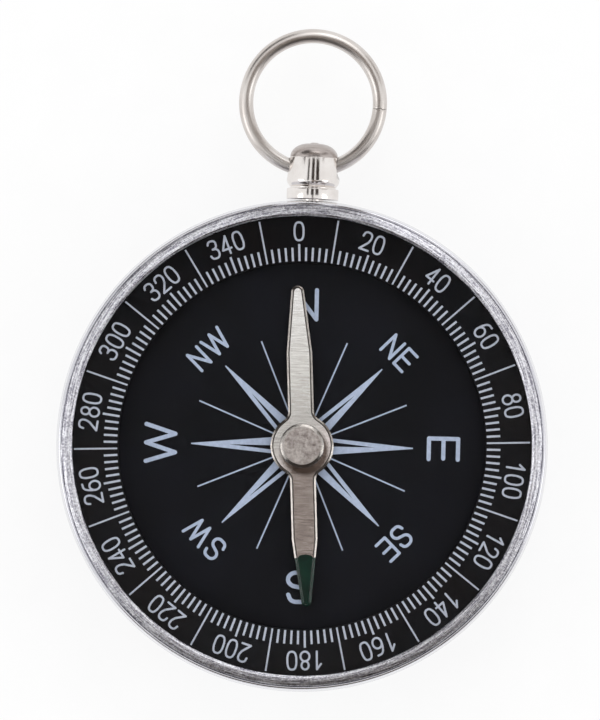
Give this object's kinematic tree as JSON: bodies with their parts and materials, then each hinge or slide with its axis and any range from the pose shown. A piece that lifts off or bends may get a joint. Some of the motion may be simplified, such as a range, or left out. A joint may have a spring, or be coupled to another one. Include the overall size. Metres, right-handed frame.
{
  "type": "compass keychain",
  "caption": "Round pocket compass in a polished aluminium case, with a free-turning needle over a printed dial and a wire ring that swings on a domed stem.",
  "frame": {"origin": "centre of the flat back of the case", "axes": "+Z out of the dial, +Y along the pendant stem towards the bow ring, +X to the right of the dial"},
  "size_m": [0.044, 0.0594, 0.011],
  "materials": {
    "case_aluminium": "polished",
    "bezel_aluminium": "satin",
    "crystal_acrylic": "gloss",
    "scale_black": "satin",
    "dial_black": "satin",
    "carrier_plastic": "satin",
    "pivot_brass": "satin",
    "pivot_steel": "polished",
    "needle_steel": "satin",
    "hub_aluminium": "satin",
    "jewel_glass": "gloss",
    "stem_nickel": "polished",
    "bow_nickel": "polished",
    "fastener_steel": "satin",
    "fastener_brass": "satin"
  },
  "bodies": {
    "case": {"case_shell": "case_aluminium", "bezel_ring": "bezel_aluminium", "crystal": "crystal_acrylic", "degree_ring": "scale_black", "dial_plate": "dial_black", "dial_carrier": "carrier_plastic", "pivot_bush": "pivot_brass", "pivot_pin": "pivot_steel", "pendant_stem": "stem_nickel", "pendant_washer": "fastener_steel", "pendant_nut": "fastener_brass"},
    "needle": {"needle_blade": "needle_steel", "needle_cap": "hub_aluminium", "needle_jewel": "jewel_glass"},
    "bow": {"bow_ring": "bow_nickel"}
  },
  "joints": [
    {"name": "needle_turn", "type": "hinge", "parent": "case", "child": "needle", "pos_m": [0, 0, 0.0074], "axis": [0, 0, 1], "continuous": true},
    {"name": "bow_swing", "type": "hinge", "parent": "case", "child": "bow", "pos_m": [0, 0.02503, 0.0048], "axis": [1, 0, 0], "range_deg": [-134, 118]}
  ]
}
